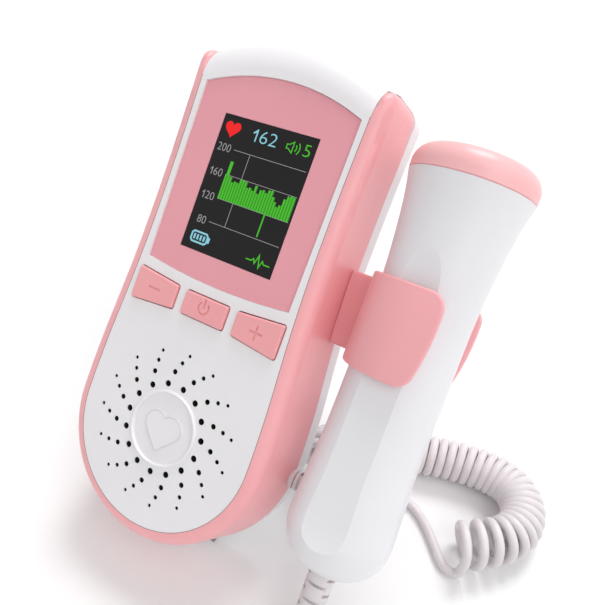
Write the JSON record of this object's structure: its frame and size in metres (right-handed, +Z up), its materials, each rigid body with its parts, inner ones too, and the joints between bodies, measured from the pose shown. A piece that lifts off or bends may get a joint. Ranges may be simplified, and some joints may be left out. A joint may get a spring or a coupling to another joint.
{
  "type": "fetal doppler monitor",
  "caption": "Hand-held fetal heartbeat monitor with colour display, buttons and speaker grille, leaning on a kickstand, its curly-corded probe held in a side clip",
  "frame": {"origin": "on the surface it stands on, at the middle of the box round the hand unit and the clipped probe", "axes": "+X to the right across the display, +Y away from the viewer towards the back, +Z up"},
  "size_m": [0.1401, 0.158, 0.1291],
  "materials": {
    "white_shell": "satin moulded",
    "pink_shell": "satin moulded",
    "pink_panel": "flat satin",
    "pink_buttons": "satin rubberised",
    "display_window": "lit display behind a clear window",
    "display_case": "dull black",
    "circuit_board": "lacquered",
    "steel": "bright zinc plated",
    "switch_metal": "pressed",
    "cloth": "fine woven",
    "speaker_steel": "black coated",
    "paper_cone": "dull paper",
    "magnet": "dull ferrite",
    "cell_jacket": "printed sleeve",
    "contact_metal": "nickel plated",
    "rubber": "soft grey",
    "socket_black": "dull black",
    "cord_plastic": "smooth pale jacket",
    "piezo": "silvered",
    "backing": "cast"
  },
  "bodies": {
    "monitor": {"front_shell": "white_shell", "back_shell": "white_shell", "side_band": "pink_shell", "display_bezel": "pink_panel", "screen_glass": "display_window", "lcd_module": "display_case", "main_board": "circuit_board", "board_screws": "steel", "tact_switches": "switch_metal", "grille_cloth": "cloth", "speaker_frame": "speaker_steel", "speaker_cone": "paper_cone", "speaker_magnet": "magnet", "battery_cells": "cell_jacket", "battery_contacts": "contact_metal", "case_screws": "steel", "kickstand_pin": "steel", "foot_pads": "rubber", "earphone_socket": "socket_black", "probe_clip": "pink_shell", "clip_screws": "steel", "cord_boot": "cord_plastic", "cord_probe_side": "cord_plastic", "cord_coil": "cord_plastic", "cord_monitor_side": "cord_plastic"},
    "button_minus": {"button_minus": "pink_buttons"},
    "button_power": {"button_power": "pink_buttons"},
    "button_plus": {"button_plus": "pink_buttons"},
    "battery_cover": {"battery_cover": "white_shell"},
    "kickstand": {"kickstand": "white_shell", "kickstand_foot": "rubber"},
    "probe": {"probe_body": "white_shell", "probe_cap": "pink_shell", "piezo_discs": "piezo", "acoustic_backing": "backing", "probe_board": "circuit_board", "probe_strain_relief": "cord_plastic"}
  },
  "joints": [
    {"name": "button_minus_press", "type": "slide", "parent": "monitor", "child": "button_minus", "axis": [0, 0.7501, -0.6613], "range_m": [0, 0.0006], "stiffness_N_per_m": 1500},
    {"name": "button_power_press", "type": "slide", "parent": "monitor", "child": "button_power", "axis": [0, 0.7501, -0.6613], "range_m": [0, 0.0006], "stiffness_N_per_m": 1500},
    {"name": "button_plus_press", "type": "slide", "parent": "monitor", "child": "button_plus", "axis": [0, 0.7501, -0.6613], "range_m": [0, 0.0006], "stiffness_N_per_m": 1500},
    {"name": "battery_cover_lift", "type": "slide", "parent": "monitor", "child": "battery_cover", "axis": [0, 0.7501, -0.6613], "range_m": [0, 0.03]},
    {"name": "kickstand_fold", "type": "hinge", "parent": "monitor", "child": "kickstand", "pos_m": [-0.01865, 0.01011, 0.06053], "axis": [1, 0, 0], "range_deg": [-54.74, 0]},
    {"name": "probe_slide_out", "type": "slide", "parent": "monitor", "child": "probe", "axis": [1, 0, 0], "range_m": [0, 0.04]}
  ]
}
